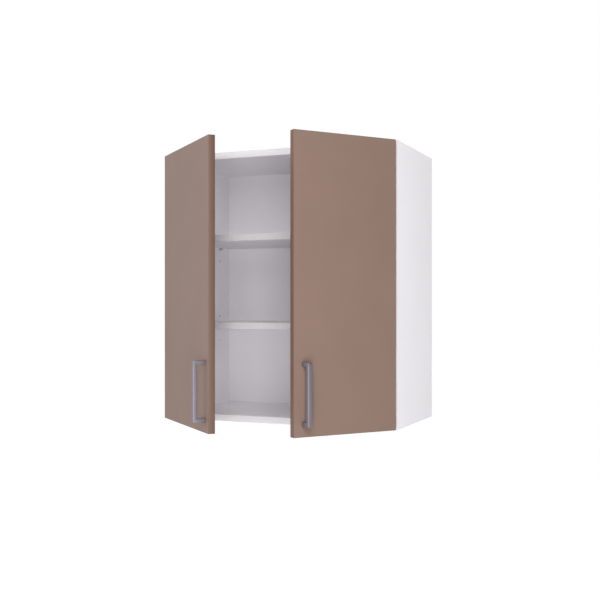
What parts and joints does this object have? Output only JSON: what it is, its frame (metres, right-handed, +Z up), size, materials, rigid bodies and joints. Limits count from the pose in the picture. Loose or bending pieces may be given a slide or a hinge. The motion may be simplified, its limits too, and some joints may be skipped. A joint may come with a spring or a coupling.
{
  "type": "kitchen wall cabinet",
  "caption": "Wall-hung kitchen cabinet with a white carcass, adjustable shelves behind flat hinged doors, bow handles and concealed cup hinges.",
  "frame": {"origin": "on the wall plane, midway between the two hanging points, 45 mm below the top of the cabinet", "axes": "+X to the right as seen from the front, +Y into the wall, +Z up"},
  "size_m": [0.6049, 0.5472, 0.66],
  "materials": {
    "white_melamine_board": "16 mm chipboard faced with fine-grained matt white melamine",
    "white_hardboard": "3 mm hardboard lacquered white",
    "matt_mocha_door": "16 mm board faced on both sides with a matt mocha decor",
    "white_edge_band": "0.8 mm extruded plastic edge band, satin white",
    "mocha_edge_band": "1 mm extruded plastic edge band, matt mocha",
    "satin_grey_handle": "satin grey plated die-cast metal",
    "clear_bumper": "soft translucent plastic",
    "beech_dowel": "plain beech",
    "zinc_plated_steel": "bright zinc plated steel",
    "nickel_plated_steel": "pressed steel, nickel plated"
  },
  "bodies": {
    "cabinet": {"side_left": "white_melamine_board", "side_right": "white_melamine_board", "top_panel": "white_melamine_board", "bottom_panel": "white_melamine_board", "back_panel": "white_hardboard", "shelf_upper": "white_melamine_board", "shelf_lower": "white_melamine_board", "carcass_edge_bands": "white_edge_band", "shelf_edge_bands": "white_edge_band", "shelf_pins_upper": "zinc_plated_steel", "shelf_pins_lower": "zinc_plated_steel", "cams": "zinc_plated_steel", "cam_bolts": "zinc_plated_steel", "dowels": "beech_dowel", "back_nails": "zinc_plated_steel", "hanger_plate_left": "zinc_plated_steel", "hanger_plate_right": "zinc_plated_steel", "hanger_screws": "zinc_plated_steel", "plate_screws": "zinc_plated_steel", "arm_screws": "zinc_plated_steel", "arm_pins": "zinc_plated_steel", "hinge_plate_left_upper": "nickel_plated_steel", "hinge_plate_left_lower": "nickel_plated_steel", "hinge_plate_right_upper": "nickel_plated_steel", "hinge_plate_right_lower": "nickel_plated_steel", "hinge_arm_left_upper": "nickel_plated_steel", "hinge_arm_left_lower": "nickel_plated_steel", "hinge_arm_right_upper": "nickel_plated_steel", "hinge_arm_right_lower": "nickel_plated_steel"},
    "door_left": {"door_left": "matt_mocha_door", "door_edge_bands_left": "mocha_edge_band", "handle_left": "satin_grey_handle", "handle_screws_left": "zinc_plated_steel", "bumpers_left": "clear_bumper", "hinge_cup_left_upper": "nickel_plated_steel", "hinge_cup_left_lower": "nickel_plated_steel", "cup_screws_left": "zinc_plated_steel", "cup_pins_left": "zinc_plated_steel"},
    "inner_links_left": {"inner_link_left_upper": "nickel_plated_steel", "inner_link_left_lower": "nickel_plated_steel"},
    "outer_links_left": {"outer_link_left_upper": "nickel_plated_steel", "outer_link_left_lower": "nickel_plated_steel"},
    "door_right": {"door_right": "matt_mocha_door", "door_edge_bands_right": "mocha_edge_band", "handle_right": "satin_grey_handle", "handle_screws_right": "zinc_plated_steel", "bumpers_right": "clear_bumper", "hinge_cup_right_upper": "nickel_plated_steel", "hinge_cup_right_lower": "nickel_plated_steel", "cup_screws_right": "zinc_plated_steel", "cup_pins_right": "zinc_plated_steel"},
    "inner_links_right": {"inner_link_right_upper": "nickel_plated_steel", "inner_link_right_lower": "nickel_plated_steel"},
    "outer_links_right": {"outer_link_right_upper": "nickel_plated_steel", "outer_link_right_lower": "nickel_plated_steel"}
  },
  "joints": [
    {"name": "door_left_swing", "type": "hinge", "parent": "inner_links_left", "child": "door_left", "pos_m": [-0.28737, -0.31049, -0.285], "axis": [0, 0, -1], "range_deg": [-54.6, 62.4]},
    {"name": "inner_links_left_turn", "type": "hinge", "parent": "cabinet", "child": "inner_links_left", "pos_m": [-0.258, -0.2906, -0.285], "axis": [0, 0, -1], "range_deg": [-14.7, 12.9]},
    {"name": "outer_links_left_turn", "type": "hinge", "parent": "cabinet", "child": "outer_links_left", "pos_m": [-0.2787, -0.3079, -0.285], "axis": [0, 0, -1], "range_deg": [-28.22, 24.73]},
    {"name": "door_right_swing", "type": "hinge", "parent": "inner_links_right", "child": "door_right", "pos_m": [0.28629, -0.312, -0.285], "axis": [0, 0, 1], "range_deg": [-67.6, 49.4]},
    {"name": "inner_links_right_turn", "type": "hinge", "parent": "cabinet", "child": "inner_links_right", "pos_m": [0.258, -0.2906, -0.285], "axis": [0, 0, 1], "range_deg": [-11.7, 15.9]},
    {"name": "outer_links_right_turn", "type": "hinge", "parent": "cabinet", "child": "outer_links_right", "pos_m": [0.2787, -0.3079, -0.285], "axis": [0, 0, 1], "range_deg": [-22.41, 30.55]}
  ],
  "couplings": [
    {"joint": "inner_links_left_turn", "follows": "door_left_swing", "ratio": -0.23077},
    {"joint": "outer_links_left_turn", "follows": "door_left_swing", "ratio": -0.44746},
    {"joint": "inner_links_right_turn", "follows": "door_right_swing", "ratio": -0.23077},
    {"joint": "outer_links_right_turn", "follows": "door_right_swing", "ratio": -0.44746}
  ]
}
